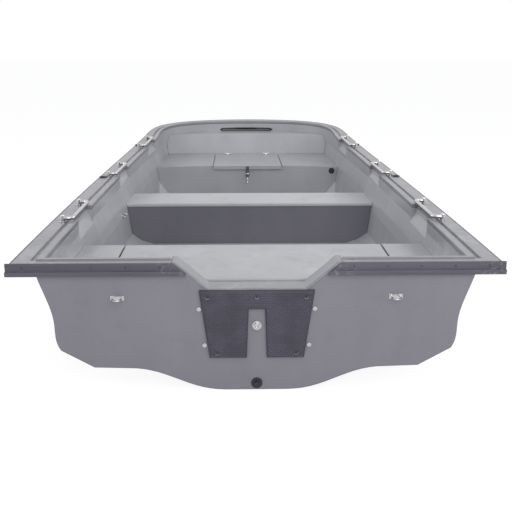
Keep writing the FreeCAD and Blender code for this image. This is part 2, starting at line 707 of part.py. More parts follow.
def on_transom(item, name, x, z, out="0"):
    """Publishes a piece made about its own origin, -Y outwards, on the raked transom."""
    item.Placement = FreeCAD.Placement(V(0, 0, 0), LEAN)
    item.setExpression("Placement.Base.x", x)
    item.setExpression("Placement.Base.z", z)
    at = "dims.transom_setback + dims.transom_rake * (dims.stern_height - (%s)) - (%s)" % (z, out)
    return publish(item, name, at)


def stud(name, radius, length, x="0", y="0", z="0"):
    """A cylinder that stands out towards the stern from y."""
    return primitive("Part::Cylinder", name, {"Radius": radius, "Height": length}, (x, y, z), TO_STERN)


board = box("board_blank", ("-dims.board_half_width", "2 * dims.board_half_width"),
            ("dims.transom_skin + 0.5", "dims.board_thickness"),
            ("0", "dims.notch_bottom - dims.notch_rim - dims.board_bottom - 4"))
pipe = stud("board_drain_hole", "dims.drain_pipe", "100", "0", "90",
            "dims.drain_height - dims.board_bottom")
on_transom(cut("transom_board", board, pipe), "transom_board", "0", "dims.board_bottom")

pad = doc.addObject("PartDesign::Body", "motor_pad")
front = [plane for plane in pad.Origin.OriginFeatures if plane.Role == "XZ_Plane"][0]
sketch = pad.newObject("Sketcher::SketchObject", "pad_outline")
sketch.AttachmentSupport = (front, "")
sketch.MapMode = "FlatFace"
pad_height = "(dims.pad_top - dims.pad_bottom)"
slot_rise = "(dims.pad_slot_top - dims.pad_bottom)"
half_outline = [("dims.pad_slot_half_bottom", "0"), ("dims.pad_half_bottom", "0"),
                ("dims.pad_half_top", pad_height)]
OUTLINE = [(1, x, z) for x, z in half_outline] + [(-1, x, z) for x, z in reversed(half_outline)]
OUTLINE += [(-1, "dims.pad_slot_half_top", slot_rise), (1, "dims.pad_slot_half_top", slot_rise)]
rough = [V(40, 1), V(170, 2), V(200, 250), V(-200, 250), V(-170, 2), V(-40, 1), V(-30, 180), V(30, 180)]
for number, start in enumerate(rough):
    sketch.addGeometry(Part.LineSegment(start, rough[(number + 1) % len(rough)]))
for number in range(len(rough)):
    sketch.addConstraint(Sketcher.Constraint("Coincident", number, 2, (number + 1) % len(rough), 1))
for number, (sign, x, z) in enumerate(OUTLINE):
    sketch.addConstraint(Sketcher.Constraint("DistanceX", -1, 1, number, 1, rough[number].x))
    sketch.setExpression("Constraints[%d]" % (sketch.ConstraintCount - 1), "%d * %s" % (sign, x))
    sketch.addConstraint(Sketcher.Constraint("DistanceY", -1, 1, number, 1, rough[number].y))
    sketch.setExpression("Constraints[%d]" % (sketch.ConstraintCount - 1), z)
plate_pad = pad.newObject("PartDesign::Pad", "pad_plate")
plate_pad.Profile = sketch
plate_pad.setExpression("Length", "dims.pad_thickness")
doc.recompute()
outer = min(range(len(plate_pad.Shape.Faces)), key=lambda i: plate_pad.Shape.Faces[i].CenterOfMass.y)
bevel = pad.newObject("PartDesign::Chamfer", "pad_bevel")
bevel.Base = (plate_pad, ["Face%d" % (outer + 1)])
bevel.setExpression("Size", "dims.pad_bevel")
SCREWS = [("-173", "362"), ("0", "363"), ("173", "362"), ("-140", "150"), ("140", "150")]
holes = pad.newObject("Sketcher::SketchObject", "pad_screw_holes")
holes.AttachmentSupport = (front, "")
holes.MapMode = "FlatFace"
for number, (x, z) in enumerate(SCREWS):
    centre = V(float(x), float(z) - dim("pad_bottom"), 0)
    holes.addGeometry(Part.Circle(centre, V(0, 0, 1), dim("pad_screw") + 0.3))
    for kind, value in (("DistanceX", x), ("DistanceY", "%s - dims.pad_bottom" % z)):
        size = centre.x if kind == "DistanceX" else centre.y
        holes.addConstraint(Sketcher.Constraint(kind, -1, 1, number, 3, size))
        holes.setExpression("Constraints[%d]" % (holes.ConstraintCount - 1), value)
    holes.addConstraint(Sketcher.Constraint("Radius", number, dim("pad_screw") + 0.3))
    holes.setExpression("Constraints[%d]" % (holes.ConstraintCount - 1), "dims.pad_screw + 0.3")
drilled = pad.newObject("PartDesign::Pocket", "pad_holes")
drilled.Profile = holes
drilled.Type = "ThroughAll"
drilled.Midplane = True
pad.Tip = drilled
on_transom(pad, "motor_pad", "0", "dims.pad_bottom", "dims.socket_gap")

heads = [stud("pad_screw%d" % number, "dims.pad_screw", "dims.pad_thickness - 0.4", x, "0",
              "%s - dims.pad_bottom" % z) for number, (x, z) in enumerate(SCREWS)]
on_transom(fuse("motor_pad_screws", *heads), "motor_pad_screws", "0", "dims.pad_bottom",
           "dims.socket_gap")

LUGS = [("193", "315"), ("175", "177")]
lugs = []
for number, (x, z) in enumerate(LUGS):
    for sign in ("", "-"):
        at = "%s(%s + 11)" % (sign, x)
        lugs.append(stud("pad_lug%d%s" % (number, "p" if sign else "s"), "8", "5", at, "0",
                         "%s - dims.pad_bottom" % z))
on_transom(fuse("motor_pad_lugs", *lugs), "motor_pad_lugs", "0", "dims.pad_bottom")

on_transom(cut("drain_ring",
               fuse("drain_body", stud("drain_flange", "17", "5"), stud("drain_nose", "11", "11")),
               stud("drain_hole", "6", "8", "0", "-5")), "splash_drain", "0", "dims.drain_height")
on_transom(fuse("bilge_plug_body", stud("plug_flange", "dims.plug_radius", "5"),
                stud("plug_grip", "9", "14")),
           "bilge_plug", "0", "dims.plug_height")


def u_bolt(name, plate_half, plate_side):
    """An eye: a small plate and a rod loop that stands out from it."""
    base = box(name + "_plate", ("-" + plate_half, "2 * " + plate_half), ("-3", "3"),
               ("-" + plate_side, "2 * " + plate_side))
    reach = "(dims.eye_reach - dims.eye_loop - dims.eye_rod)"
    legs = [stud("%s_leg%d" % (name, sign), "dims.eye_rod", reach, "%d * dims.eye_loop" % sign)
            for sign in (-1, 1)]
    loop = primitive("Part::Torus", name + "_bend",
                     {"Radius1": "dims.eye_loop", "Radius2": "dims.eye_rod", "Angle3": "180"},
                     ("0", "-" + reach, "0"), FreeCAD.Rotation(UP, 180))
    return fuse(name, base, loop, *legs)


for label, side in SIDES:
    name = "transom_eye_" + label
    on_transom(u_bolt(name, "24", "9"), name, "%d * dims.eye_spacing" % side, "dims.eye_height")

# ---------------------------------------------------------------- gunwale fittings


def on_gunwale(item, name, side, station, inset, reach):
    """Publishes a piece made about its own origin, x outboard, so that it clears the gunwale's top."""
    y = dim(station)
    hollow = (sheer(y + reach) + sheer(y - reach)) / 2 - sheer(y)
    item.Placement = gunwale_place(side, y, dim(inset), seam + max(hollow, 0))
    return publish(item, name, "dims." + station)


def grab_handle(name):
    """A bent rod on two round feet, with the bar inboard of them."""
    half = "(dims.handle_length / 2)"
    straight = "(dims.handle_reach - dims.handle_bend)"
    shapes = [primitive("Part::Cylinder", name + "_bar",
                        {"Radius": "dims.handle_rod",
                         "Height": "dims.handle_length - 2 * dims.handle_bend"},
                        ("-dims.handle_reach", "dims.handle_bend - " + half, "dims.handle_height"),
                        FreeCAD.Rotation(V(1, 0, 0), -90))]
    for number, sign in enumerate((1, -1)):
        end = "%d * %s" % (sign, half)
        shapes.append(primitive("Part::Cylinder", "%s_leg%d" % (name, number),
                                {"Radius": "dims.handle_rod", "Height": straight},
                                ("0", end, "dims.handle_height"), FreeCAD.Rotation(V(0, 1, 0), -90)))
        shapes.append(primitive("Part::Torus", "%s_bend%d" % (name, number),
                                {"Radius1": "dims.handle_bend", "Radius2": "dims.handle_rod",
                                 "Angle3": "90"},
                                ("-" + straight, "%s - %d * dims.handle_bend" % (end, sign),
                                 "dims.handle_height"),
                                FreeCAD.Rotation(UP, 90 + 90 * number)))
        shapes.append(primitive("Part::Cylinder", "%s_foot%d" % (name, number),
                                {"Radius": "dims.handle_foot", "Height": "4"}, ("0", end, "0")))
        shapes.append(primitive("Part::Cylinder", "%s_post%d" % (name, number),
                                {"Radius": "dims.handle_rod + 1.5",
                                 "Height": "dims.handle_height + dims.handle_rod + 1"}, ("0", end, "0")))
    return fuse(name, *shapes)


def rowlock_socket(name):
    """A flanged sleeve let into the gunwale, with a bore for the rowlock's pin."""
    cap = primitive("Part::Cylinder", name + "_cap", {"Radius": "dims.rowlock_cap", "Height": "5"})
    sleeve = primitive("Part::Cylinder", name + "_sleeve",
                       {"Radius": "dims.rowlock_sleeve", "Height": "dims.rowlock_depth + 1"},
                       ("0", "0", "-dims.rowlock_depth"))
    bore = primitive("Part::Cylinder", name + "_bore",
                     {"Radius": "dims.rowlock_bore", "Height": "dims.rowlock_depth + 20"},
                     ("0", "0", "-dims.rowlock_depth - 10"))
    return cut(name, fuse(name + "_body", cap, sleeve), bore)


handle_end = dim("handle_length") / 2 + dim("handle_foot")
for label, side in SIDES:
    for place, station in HANDLES:
        name = "grab_handle_%s_%s" % (label, place)
        on_gunwale(grab_handle(name), name, side, station, "handle_inset", handle_end)
    for place, station in ROWLOCKS:
        name = "rowlock_socket_%s_%s" % (label, place)
        on_gunwale(rowlock_socket(name), name, side, station, "rowlock_inset", dim("rowlock_cap"))

# ---------------------------------------------------------------- small inside and bow fittings

vent_y = "dims.bow_seat_aft"
vent = fuse("vent_body", stud("vent_flange", "20", "5"), stud("vent_knob", "11", "12"))
vent.setExpression("Placement.Base.x", "dims.vent_side")
vent.setExpression("Placement.Base.z", "dims.bow_seat_height - dims.vent_drop")
publish(vent, "vent_plug", vent_y)

hook_at = dim("hook_at")
hook_z = dim("hook_height")
wall_x = -cockpit_wall_x(hook_at, hook_z)
hook_plate = primitive("Part::Cylinder", "hook_plate", {"Radius": "14", "Height": "4"}, None,
                       FreeCAD.Rotation(V(0, 1, 0), 90))
hook_eye = primitive("Part::Torus", "hook_eye", {"Radius1": "10", "Radius2": "2.5"}, ("12", "0", "0"),
                     FreeCAD.Rotation(V(1, 0, 0), 90))
hook = fuse("hook_body", hook_plate, hook_eye)
hook.Placement = FreeCAD.Placement(V(wall_x + 2 * seam, 0, hook_z),
                                   FreeCAD.Rotation(V(0, 1, 0), -wall_lean(hook_at, hook_z)))
publish(hook, "wall_hook", "dims.hook_at")

bow_eye = u_bolt("bow_eye", "24", "9")
eye_z = dim("bow_eye_height")
flare = math.degrees(math.atan2(hull_bow_y(eye_z + 15) - hull_bow_y(eye_z - 15), 30))
turn = FreeCAD.Rotation(V(1, 0, 0), -flare).multiply(FreeCAD.Rotation(UP, 180))
bow_eye.Placement = FreeCAD.Placement(V(0, 0, eye_z), turn)
publish(bow_eye, "bow_eye", "%f + dims.seam" % hull_bow_y(eye_z))

# ---------------------------------------------------------------- check and write

doc.recompute()
failed = [item.Name for item in doc.Objects if "Invalid" in item.State or "Error" in item.State]
failed += [item.Label for item in parts if item.Shape.isNull() or not item.Shape.isValid()]
if failed:
    raise SystemExit("failed: " + ", ".join(failed))
os.makedirs("parts", exist_ok=True)
for item in parts:
    item.Shape.exportStep("parts/%s.step" % item.Label)
    print("%-26s %d solid(s) %9.1f cm3" % (item.Label, len(item.Shape.Solids), item.Shape.Volume / 1000))
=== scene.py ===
"""Looks and studio of an open square-bow dinghy, built round its fixed frame, in metres."""

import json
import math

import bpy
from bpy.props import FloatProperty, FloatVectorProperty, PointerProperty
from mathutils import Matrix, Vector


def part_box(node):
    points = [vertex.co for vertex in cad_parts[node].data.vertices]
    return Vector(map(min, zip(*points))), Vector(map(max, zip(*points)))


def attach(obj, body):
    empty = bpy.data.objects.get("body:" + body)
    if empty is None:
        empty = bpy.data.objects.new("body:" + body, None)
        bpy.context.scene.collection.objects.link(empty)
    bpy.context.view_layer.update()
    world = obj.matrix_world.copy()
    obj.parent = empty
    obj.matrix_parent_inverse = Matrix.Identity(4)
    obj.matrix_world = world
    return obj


bl_info = {
    "name": "Open Dinghy Studio",
    "version": (1, 0, 0),
    "blender": (4, 5, 0),
    "location": "View3D > Sidebar > Dinghy",
    "description": "Finishes, small fittings and a plain studio for an open dinghy",
    "category": "Object",
}

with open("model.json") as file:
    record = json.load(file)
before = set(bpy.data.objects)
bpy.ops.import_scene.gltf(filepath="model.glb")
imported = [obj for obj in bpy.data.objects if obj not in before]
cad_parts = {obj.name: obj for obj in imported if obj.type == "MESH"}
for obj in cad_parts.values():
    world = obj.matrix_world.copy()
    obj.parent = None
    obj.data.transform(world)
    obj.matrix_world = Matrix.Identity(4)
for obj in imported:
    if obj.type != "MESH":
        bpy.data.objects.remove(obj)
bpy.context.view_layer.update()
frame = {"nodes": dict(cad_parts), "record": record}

# ---------------------------------------------------------------- the boat's lines

HULL_LENGTH = 3.95
HALF_BEAM = 0.85
GUNWALE_TAPER = 0.167
RAIL_CORNER = 34
INNER_CORNER = 46
COCKPIT_INSET = 0.11
BOW_WALL = 0.084
STERN_RAIL_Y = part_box("rub_rail_stern_port")[1][1] - 0.0057
TRANSOM_SETBACK = 0.006
TRANSOM_RAKE = 0.054
STERN_HEIGHT = 0.485
PAD_THICKNESS = 0.0142
AFT = Vector((0, -1, -TRANSOM_RAKE)).normalized()
UP = Vector((0, 0, 1))


def sheer(along):
    """Height of the gunwale's top, at this share of the hull's length."""
    return STERN_HEIGHT + 0.018 * along + 0.082 * along ** 6


def gunwale_point(along, inset=0, drop=0):
    """A place on the starboard gunwale, moved inboard and down."""
    corner = math.sqrt(max(0, 1 - along ** RAIL_CORNER))
    half = (HALF_BEAM - inset) * (1 - GUNWALE_TAPER * along ** 2) * corner
    y = STERN_RAIL_Y + along * (HULL_LENGTH - inset)
    return Vector((half, y, sheer(along) - drop))


def bow_wall(x):
    """Where the cockpit's upright wall stands across the bow, this far from the middle."""
    share = (x / ((HALF_BEAM - COCKPIT_INSET) * (1 - GUNWALE_TAPER))) ** 2
    return STERN_RAIL_Y + (HULL_LENGTH - BOW_WALL) * (1 - share) ** (1 / INNER_CORNER)


def transom_point(x, z, out=0):
    """A place on the raked transom, this far behind it."""
    y = STERN_RAIL_Y + TRANSOM_SETBACK + TRANSOM_RAKE * (STERN_HEIGHT - z) - out
    return Vector((x, y, z))


# ---------------------------------------------------------------- shader sums


class Value:
    """A socket of a material that takes part in Python sums."""

    def __init__(self, paint, socket):
        self.paint = paint
        self.socket = socket

    def sum(self, operation, *others):
        values = {number: other for number, other in enumerate(others)}
        return self.paint.node("ShaderNodeMath", {"operation": operation}, values)

    def __add__(self, other):
        return self.sum("ADD", self, other)

    def __sub__(self, other):
        return self.sum("SUBTRACT", self, other)

    def __rsub__(self, other):
        return self.sum("SUBTRACT", other, self)

    def __mul__(self, other):
        return self.sum("MULTIPLY", self, other)

    def __gt__(self, other):
        return self.sum("GREATER_THAN", self, other)

    __radd__ = __add__
    __rmul__ = __mul__

    def between(self, low, high):
        """0 below low, 1 above high, and smooth from one to the other."""
        limits = {"Value": self, "From Min": low, "From Max": high}
        return self.paint.node("ShaderNodeMapRange", {"interpolation_type": "SMOOTHSTEP"}, limits)


class Paint:
    """A new material with a Principled shader, and the nodes in it."""

    def __init__(self, name):
        self.material = bpy.data.materials.new(name)
        self.material.use_nodes = True
        self.tree = self.material.node_tree
        self.tree.nodes.clear()
        self.place = self.node("ShaderNodeTexCoord", out="Object")

    def node(self, kind, settings=None, sockets=None, out=0):
        """A node of this type with its settings, then its sockets' values or links."""
        node = self.tree.nodes.new(kind)
        for key, value in (settings or {}).items():
            setattr(node, key, value)
        for key, value in (sockets or {}).items():
            if isinstance(value, Value):
                self.tree.links.new(value.socket, node.inputs[key])
            else:
                node.inputs[key].default_value = value
        return Value(self, node.outputs[out])

    def noise(self, scale, detail=2.0, stretch=(1, 1, 1), rough=0.5):
        """Cloudy noise on the object's own coordinates, drawn out along an axis by a small stretch."""
        place = self.node("ShaderNodeMapping", None, {"Vector": self.place, "Scale": stretch})
        sockets = {"Vector": place, "Scale": scale, "Detail": detail, "Roughness": rough}
        return self.node("ShaderNodeTexNoise", None, sockets)

    def cells(self, scale):
        return self.node("ShaderNodeTexVoronoi", None, {"Vector": self.place, "Scale": scale})

    def along(self, axis):
        """Distance along one of the object's axes, in metres."""
        return self.node("ShaderNodeSeparateXYZ", None, {"Vector": self.place}, out=axis)

    def mix(self, factor, low, high):
        """A colour between two, by a factor."""
        sockets = {0: factor, 6: low, 7: high}
        return self.node("ShaderNodeMix", {"data_type": "RGBA"}, sockets, out=2)

    def soft_edge(self, radius):
        """The surface's direction with its corners rounded."""
        return self.node("ShaderNodeBevel", {"samples": 6}, {"Radius": radius})

    def edge(self, soft):
        """1 along corners and 0 on flat places."""
        true = self.node("ShaderNodeNewGeometry", out="Normal")
        settings = {"operation": "DOT_PRODUCT"}
        dot = self.node("ShaderNodeVectorMath", settings, {0: soft, 1: true}, out="Value")
        return (1 - dot).between(0.01, 0.2)

    def bump(self, height, distance, normal=None, strength=1.0):
        sockets = {"Height": height, "Distance": distance, "Strength": strength}
        if normal is not None:
            sockets["Normal"] = normal
        return self.node("ShaderNodeBump", None, sockets)

    def finish(self, colour, roughness, normal, metallic=0.0, coat=0.0):
        """Joins the shader to the output and returns the material."""
        sockets = {"Base Color": colour, "Roughness": roughness, "Normal": normal, "Metallic": metallic,
                   "Coat Weight": coat, "Coat Roughness": 0.15}
        shader = self.node("ShaderNodeBsdfPrincipled", None, sockets)
        output = self.tree.nodes.new("ShaderNodeOutputMaterial")
        self.tree.links.new(shader.socket, output.inputs["Surface"])
        return self.material


def shade(colour, factor):
    """A colour made darker or lighter, with its alpha."""
    return tuple(part * factor for part in colour[:3]) + (1.0,)


# ---------------------------------------------------------------- finishes


def gelcoat(name, colour, gloss=0.36, corner=0.007, wash=0.0):
    """Moulded gelcoat: mottled, faintly rippled, lighter along its corners as a painted highlight,
    grimy in patches.

    Wash is the strength of the pale water marks near the stern.
    """
    paint = Paint(name)
    clouds = paint.noise(2.2, 4)
    runs = paint.noise(7, 3, (1, 1, 0.15))
    soft = paint.soft_edge(corner)
    tone = (clouds * 0.6 + runs * 0.4).between(0.3, 0.7)
    base = paint.mix(tone, shade(colour, 0.9), shade(colour, 1.06))
    dust = paint.noise(11, 6, rough=0.7).between(0.5, 0.74)
    base = paint.mix(dust * 0.25, base, shade(colour, 0.72))
    if wash:
        marks = paint.noise(5.5, 5, (1, 0.6, 1), 0.68).between(0.53, 0.66)
        near_stern = 1 - paint.along("Y").between(-1.75, -1.0)
        base = paint.mix(marks * near_stern * wash, base, shade(colour, 1.75))
    scuffs = paint.noise(34, 2, (0.06, 1, 1)).between(0.68, 0.76)
    base = paint.mix(scuffs * 0.18, base, shade(colour, 1.3))
    # Painted highlight: every corner is lightened, as if it caught the light on its rounding.
    base = paint.mix(paint.edge(soft) * 0.35, base, shade(colour, 1.35))
    roughness = clouds * 0.12 + dust * 0.16 + scuffs * 0.1 + (gloss - 0.08)
    ripple = paint.noise(26, 2) * 0.7 + paint.noise(420, 1) * 0.12
    return paint.finish(base, roughness, paint.bump(ripple, 0.0009, soft), coat=0.25)


def rail_extrusion(name, colour):
    """The rub rail: grained, streaked along its length, scratched lighter, worn at its corners, and
    lighter along every edge as a painted highlight.
    """
    paint = Paint(name)
    soft = paint.soft_edge(0.003)
    streaks = paint.noise(16, 5, (0.12, 0.12, 1.8))
    base = paint.mix(streaks.between(0.3, 0.7), shade(colour, 0.78), shade(colour, 1.14))
    scratches = paint.noise(70, 3, (0.22, 0.22, 1.6), 0.7).between(0.63, 0.72)
    base = paint.mix(scratches * 0.55, base, shade(colour, 2.3))
    # Painted highlight: every edge of the rail is lightened, as if it caught the light.
    base = paint.mix(paint.edge(soft) * 0.5, base, shade(colour, 2.0))
    side, length = paint.along("X"), paint.along("Y")
    corner = side.between(0.74, 0.85) * (1 - length.between(-1.96, -1.86))
    notch = (1 - (side * side).between(0.07, 0.15)) * 0.8
    knocks = paint.noise(64, 4, rough=0.75).between(0.52, 0.62)
    base = paint.mix(knocks * (corner + notch) * 0.35, base, (0.46, 0.44, 0.43, 1))
    roughness = streaks * 0.2 + scratches * 0.12 + 0.42
    grain = paint.noise(330, 3) * 0.5 + scratches * 0.3
    return paint.finish(base, roughness, paint.bump(grain, 0.0008, soft), coat=0.05)


def ribbed_plastic(name, colour, corner_highlight=0.5):
    """Dull moulded plastic with a fine leathery grain and corners lightened as a painted highlight."""
    paint = Paint(name)
    soft = paint.soft_edge(0.0015)
    clouds = paint.noise(14, 4)
    base = paint.mix(clouds.between(0.35, 0.7), shade(colour, 0.8), shade(colour, 1.25))
    # Painted highlight: corners are lightened by this strength, as if they caught the light.
    base = paint.mix(paint.edge(soft) * corner_highlight, base, shade(colour, 1.9))
    pores = paint.cells(420) * 0.6 + paint.noise(150, 3) * 0.4
    return paint.finish(base, clouds * 0.2 + 0.45, paint.bump(pores, 0.0005, soft))


def bright_steel(name, colour):
    """Polished stainless steel with brushing along it, smears and tea stains."""
    paint = Paint(name)
    soft = paint.soft_edge(0.001)
    brushing = paint.noise(120, 3, (1, 0.06, 1))
    smears = paint.noise(25, 4)
    stains = smears.between(0.6, 0.8)
    base = paint.mix(stains * 0.25, colour, (0.36, 0.30, 0.25, 1))
    roughness = brushing * 0.14 + smears * 0.14 + 0.06
    return paint.finish(base, roughness, paint.bump(brushing, 0.0002, soft), metallic=1.0)


def plywood(name, colour):
    """Plywood with its grain along the board and thin dark growth lines."""
    paint = Paint(name)
    grain = paint.noise(30, 5, (0.08, 1, 1), 0.65)
    base = paint.mix(grain.between(0.35, 0.65), shade(colour, 0.6), shade(colour, 1.2))
    return paint.finish(base, grain * 0.2 + 0.5, paint.bump(grain, 0.0006))


# ---------------------------------------------------------------- meshes


def piece(name, mesh, body, finish):
    """Puts a finished mesh in the scene as a piece of the boat."""
    item = bpy.data.objects.new(name, mesh)
    bpy.context.scene.collection.objects.link(item)
    if finish is not None:
        mesh.materials.clear()
        mesh.materials.append(finish)
    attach(item, body)
    return item


def fastener_tree():
    """Geometry Nodes: a tapered head on every point, turned to the point's own facing."""
    tree = bpy.data.node_groups.new("Fastener field", "GeometryNodeTree")
    sockets = [("Points", "NodeSocketGeometry"), ("Base Radius", "NodeSocketFloat"),
               ("Top Radius", "NodeSocketFloat"), ("Height", "NodeSocketFloat"),
               ("Sides", "NodeSocketInt"), ("Finish", "NodeSocketMaterial")]
    for name, kind in sockets:
        tree.interface.new_socket(name, in_out="INPUT", socket_type=kind)
    tree.interface.new_socket("Heads", in_out="OUTPUT", socket_type="NodeSocketGeometry")
    given = tree.nodes.new("NodeGroupInput").outputs
    result = tree.nodes.new("NodeGroupOutput").inputs

    def add(kind, links, **settings):
        node = tree.nodes.new(kind)
        for key, value in settings.items():
            setattr(node, key, value)
        for key, source in links.items():
            tree.links.new(source, node.inputs[key])
        return node

    head = add("GeometryNodeMeshCone", {"Vertices": given["Sides"], "Radius Top": given["Top Radius"],
                                        "Radius Bottom": given["Base Radius"],
                                        "Depth": given["Height"]})
    facing = add("GeometryNodeInputNamedAttribute", {}, data_type="FLOAT_VECTOR")
    facing.inputs["Name"].default_value = "facing"
    turn = add("FunctionNodeAlignRotationToVector", {"Vector": facing.outputs[0]}, axis="Z")
    spread = add("GeometryNodeInstanceOnPoints",
                 {"Points": given["Points"], "Instance": head.outputs["Mesh"],
                  "Rotation": turn.outputs[0]})
    real = add("GeometryNodeRealizeInstances", {"Geometry": spread.outputs[0]})
    coated = add("GeometryNodeSetMaterial",
                 {"Geometry": real.outputs[0], "Material": given["Finish"]})
    tree.links.new(coated.outputs[0], result["Heads"])
    return tree


def fasteners(name, places, radii, height, sides, finish, body="boat"):
    """Like heads at (point, facing) places, made by the tree and kept as one plain mesh."""
    seed = bpy.data.meshes.new(name + "_points")
    seed.from_pydata([point for point, _ in places], [], [])
    directions = seed.attributes.new("facing", "FLOAT_VECTOR", "POINT")
    for number, (_, facing) in enumerate(places):
        directions.data[number].vector = facing
    carrier = bpy.data.objects.new(name + "_carrier", seed)
    bpy.context.scene.collection.objects.link(carrier)
    tree = bpy.data.node_groups.get("Fastener field") or fastener_tree()
    modifier = carrier.modifiers.new("heads", "NODES")
    modifier.node_group = tree
    sizes = {"Base Radius": radii[0], "Top Radius": radii[1], "Height": height, "Sides": sides,
             "Finish": finish}
    for socket in tree.interface.items_tree:
        if socket.in_out == "INPUT" and socket.name in sizes:
            modifier[socket.identifier] = sizes[socket.name]
    graph = bpy.context.evaluated_depsgraph_get()
    mesh = bpy.data.meshes.new_from_object(carrier.evaluated_get(graph))
    mesh.name = name
    bpy.data.objects.remove(carrier)
    return piece(name, mesh, body, finish)


def strip_mesh(name, left, right):
    """A ribbon between two rows of points."""
    mesh = bpy.data.meshes.new(name)
    count = len(left)
    faces = [(n, n + 1, count + n + 1, count + n) for n in range(count - 1)]
    mesh.from_pydata(list(left) + list(right), [], faces)
    mesh.update()
    return mesh


def turned_mesh(name, profile, base, axis, sides=24):
    """A lathe-turned form from (distance along the axis, radius) pairs, closed at both ends."""
    side = axis.orthogonal().normalized()
    other = axis.cross(side)
    points, faces = [], []
    for along, radius in profile:
        for n in range(sides):
            angle = 2 * math.pi * n / sides
            outwards = side * math.cos(angle) + other * math.sin(angle)
            points.append(base + axis * along + outwards * radius)
    for ring in range(len(profile) - 1):
        for n in range(sides):
            low, high = ring * sides + n, ring * sides + (n + 1) % sides
            faces.append((low, high, high + sides, low + sides))
    last = (len(profile) - 1) * sides
    faces.append(tuple(reversed(range(sides))))
    faces.append(tuple(range(last, last + sides)))
    mesh = bpy.data.meshes.new(name)
    mesh.from_pydata(points, [], faces)
    mesh.shade_smooth()
    mesh.update()
    return mesh


# ---------------------------------------------------------------- settings


def colour_property(name, description, default):
    return FloatVectorProperty(name=name, description=description, subtype="COLOR", size=4, min=0,
                               max=1,
                               default=default)


class DinghyFinishes(bpy.types.PropertyGroup):
    """Colours of the boat's finishes."""

    hull: colour_property("Hull", "Gelcoat of the outer moulding", (0.205, 0.196, 0.228, 1))
    inside: colour_property("Inside", "Gelcoat of the liner and seats", (0.40, 0.405, 0.425, 1))
    deck: colour_property("Gunwale", "Gelcoat of the gunwale", (0.245, 0.245, 0.268, 1))
    thwart: colour_property("Thwart box", "Darker gelcoat under the middle seat",
                            (0.150, 0.146, 0.172, 1))
    seat: colour_property("Thwart top", "Cleaner gelcoat on the middle seat", (0.47, 0.475, 0.495, 1))
    rail: colour_property("Rail", "Rub rail", (0.086, 0.081, 0.106, 1))
    pad: colour_property("Motor pad", "Plastic pad for the motor's clamp", (0.042, 0.038, 0.056, 1))
    black: colour_property("Black plastic", "Sockets and plugs", (0.014, 0.012, 0.018, 1))
    steel: colour_property("Steel", "Stainless fittings", (0.50, 0.49, 0.50, 1))
    board: colour_property("Board", "Wooden transom board", (0.36, 0.23, 0.12, 1))


class DinghySizes(bpy.types.PropertyGroup):
    """Sizes of the small repeated fittings."""

    rivet_pitch: FloatProperty(name="Rivet pitch", description="Between rivets along the rail",
                               unit="LENGTH", default=0.14, min=0.04)
    stud_pitch: FloatProperty(name="Stud pitch", description="Between studs on the motor pad",
                              unit="LENGTH", default=0.0098, min=0.006)
    stud_height: FloatProperty(name="Stud height", description="Studs above the motor pad",
                               unit="LENGTH", default=0.0009, min=0.0002)


class DinghyStudio(bpy.types.PropertyGroup):
    """Light and camera."""

    key_power: FloatProperty(name="Key lamp", description="Power of the large lamp above the stern",
                             unit="POWER", default=125, min=0)
    top_power: FloatProperty(name="Top lamp", description="Power of the lamp over the boat",
                             unit="POWER", default=8, min=0)
    side_power: FloatProperty(name="Side lamps", description="Power of each lamp beside the boat",
                              unit="POWER", default=66, min=0)
    sky: FloatProperty(name="Sky", description="Strength of the even light from all round",
                       default=0.5, min=0)
    lens: FloatProperty(name="Lens", description="Focal length in millimetres", default=57.31, min=10)


# ---------------------------------------------------------------- operators


class Maker:
    """What the boat's operators share."""

    bl_options = {"REGISTER", "UNDO"}

    def execute(self, context):
        self.make(context.scene.dinghy_finishes, context.scene.dinghy_sizes)
        return {"FINISHED"}


def finish_nodes(finishes):
    """Gives every frame node of these slots its material."""
    for part in frame["record"]["subparts"]:
        finish = finishes.get(part["material_slot"])
        if finish is not None:
            for slot in frame["nodes"][part["node"]].material_slots:
                slot.material = finish


class DINGHY_OT_mouldings(Maker, bpy.types.Operator):
    """Gelcoat on the hull, liner, seats and gunwale"""

    bl_idname = "dinghy.mouldings"
    bl_label = "Mouldings"

    def make(self, colours, sizes):
        finish_nodes({
            "hull_gelcoat": gelcoat("hull_gelcoat", colours.hull),
            "liner_gelcoat": gelcoat("liner_gelcoat", colours.inside, 0.42, wash=0.22),
            "deck_gelcoat": gelcoat("deck_gelcoat", colours.deck, 0.38, 0.011, 0.5),
            "thwart_grey": gelcoat("thwart_grey", colours.thwart, 0.45),
            "board_wood": plywood("board_wood", colours.board),
        })
        for slot in frame["nodes"]["thwart_top"].material_slots:
            slot.material = gelcoat("thwart_top_gelcoat", colours.seat, 0.40)


class DINGHY_OT_fittings(Maker, bpy.types.Operator):
    """Steel, plastic and rail finishes on the fittings"""

    bl_idname = "dinghy.fittings"
    bl_label = "Fittings"

    def make(self, colours, sizes):
        finish_nodes({
            "rail_rubber": rail_extrusion("rail_rubber", colours.rail),
            "pad_plastic": ribbed_plastic("pad_plastic", colours.pad),
            "black_plastic": ribbed_plastic("black_plastic", colours.black, 0.3),
            "bright_steel": bright_steel("bright_steel", colours.steel),
        })


def rail_places(pitch):
    """Points along the rail's upper band, at even steps from the stern corner to the bow's middle."""
    line = [gunwale_point(n / 400, drop=0.015) for n in range(4, 380)]
    line += [gunwale_point(math.sin(math.radians(a / 2)) ** (2 / RAIL_CORNER), drop=0.015)
             for a in range(50, 180)]
    line = sorted(line, key=lambda point: point.y)
    places, gone = [], pitch
    for before, after in zip(line, line[1:]):
        gone += (after - before).length
        if gone >= pitch:
            gone = 0
            run = after - before
            places.append((after, Vector((run.y, -run.x, 0)).normalized()))
    mirrored = [(Vector((-p.x, p.y, p.z)), Vector((-f.x, f.y, f.z))) for p, f in places]
    return places + mirrored


